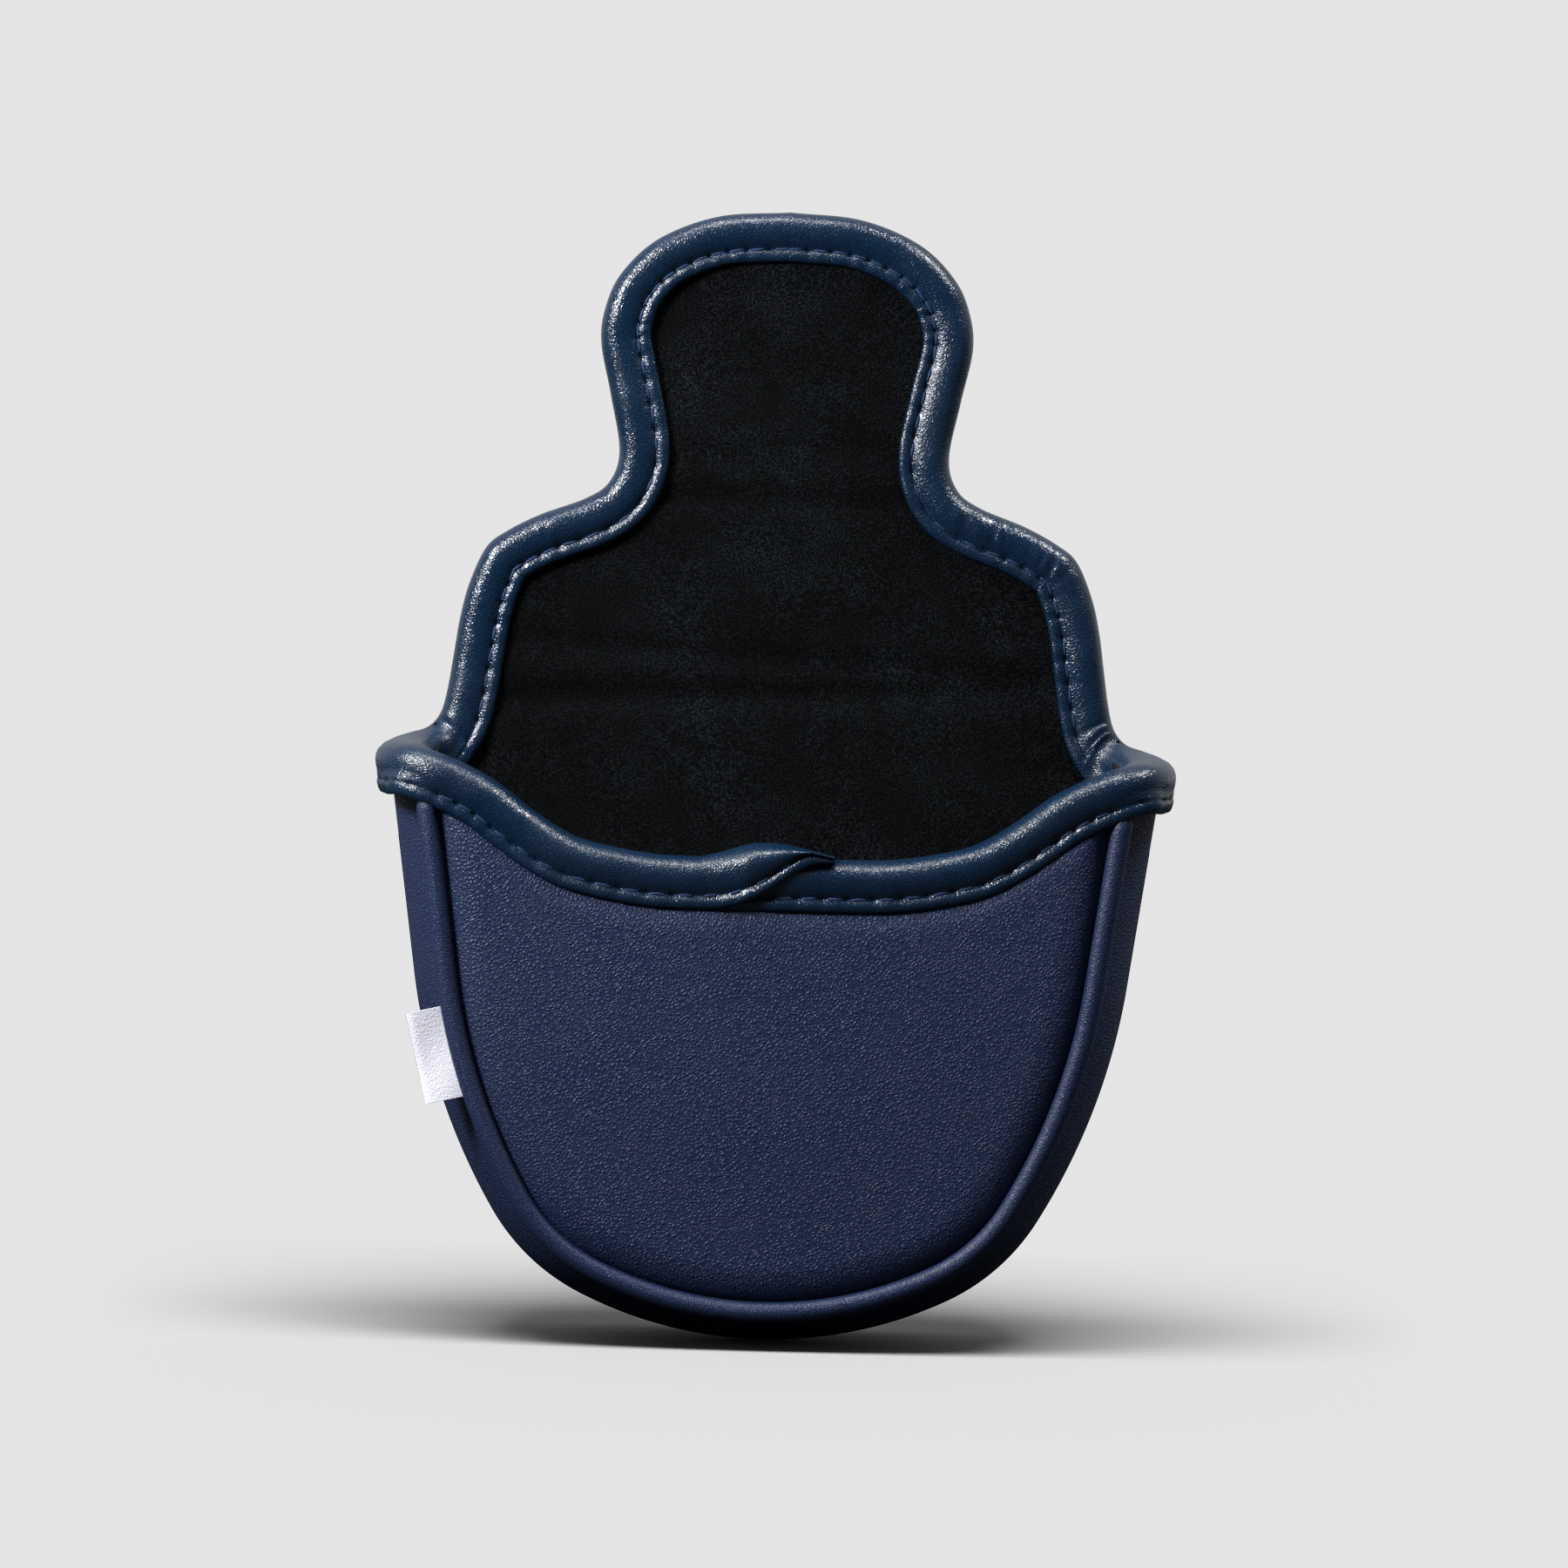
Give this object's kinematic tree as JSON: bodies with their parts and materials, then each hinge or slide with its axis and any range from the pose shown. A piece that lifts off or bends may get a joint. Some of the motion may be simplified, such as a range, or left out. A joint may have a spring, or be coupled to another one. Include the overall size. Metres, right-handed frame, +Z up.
{
  "type": "putter head cover",
  "caption": "Padded pouch with a bulged gusset, piped seams and a bound rim, whose back wall carries on as a fold-over flap with a narrow neck and a rounded tongue.",
  "frame": {"origin": "under the middle of the pouch, level with its lowest point", "axes": "+Z up through the mouth, +Y towards the back wall and its flap, +X along the mouth"},
  "size_m": [0.1302, 0.0406, 0.186],
  "materials": {
    "panel_leather": "navy, pebble grain, semi-matte",
    "piping_leather": "navy, fine grain, satin",
    "binding_leather": "navy, smooth, satin to glossy",
    "velour": "black velour, short pile",
    "foam": "closed-cell foam, matte",
    "piping_core": "plain cord",
    "thread": "navy bonded thread",
    "magnet": "nickel plated",
    "label_weave": "white woven tape, bare"
  },
  "bodies": {
    "pouch": {"front_panel": "panel_leather", "back_panel": "panel_leather", "gusset": "panel_leather", "front_piping": "piping_leather", "back_piping": "piping_leather", "front_binding": "binding_leather", "gusset_binding_left": "binding_leather", "gusset_binding_right": "binding_leather", "back_binding_left": "binding_leather", "back_binding_right": "binding_leather", "front_lining": "velour", "back_lining": "velour", "gusset_lining": "velour", "front_padding": "foam", "back_padding": "foam", "gusset_padding": "foam", "front_piping_cord": "piping_core", "back_piping_cord": "piping_core", "rim_stitches": "thread", "front_magnet": "magnet", "side_label": "label_weave"},
    "flap_base": {"flap_panel": "panel_leather", "flap_binding_left": "binding_leather", "flap_binding_right": "binding_leather", "flap_lining": "velour", "flap_padding": "foam", "flap_stitches": "thread"},
    "tongue": {"tongue_panel": "panel_leather", "tongue_binding": "binding_leather", "tongue_lining": "velour", "tongue_padding": "foam", "tongue_stitches": "thread", "tongue_magnet": "magnet"}
  },
  "joints": [
    {"name": "flap_fold", "type": "hinge", "parent": "pouch", "child": "flap_base", "pos_m": [0, 0.012, 0.1015], "axis": [1, 0, 0], "range_deg": [-25, 90], "stiffness_Nm_per_rad": 0.03},
    {"name": "tongue_fold", "type": "hinge", "parent": "flap_base", "child": "tongue", "pos_m": [0, 0.012, 0.135], "axis": [1, 0, 0], "range_deg": [-25, 90], "stiffness_Nm_per_rad": 0.03}
  ]
}
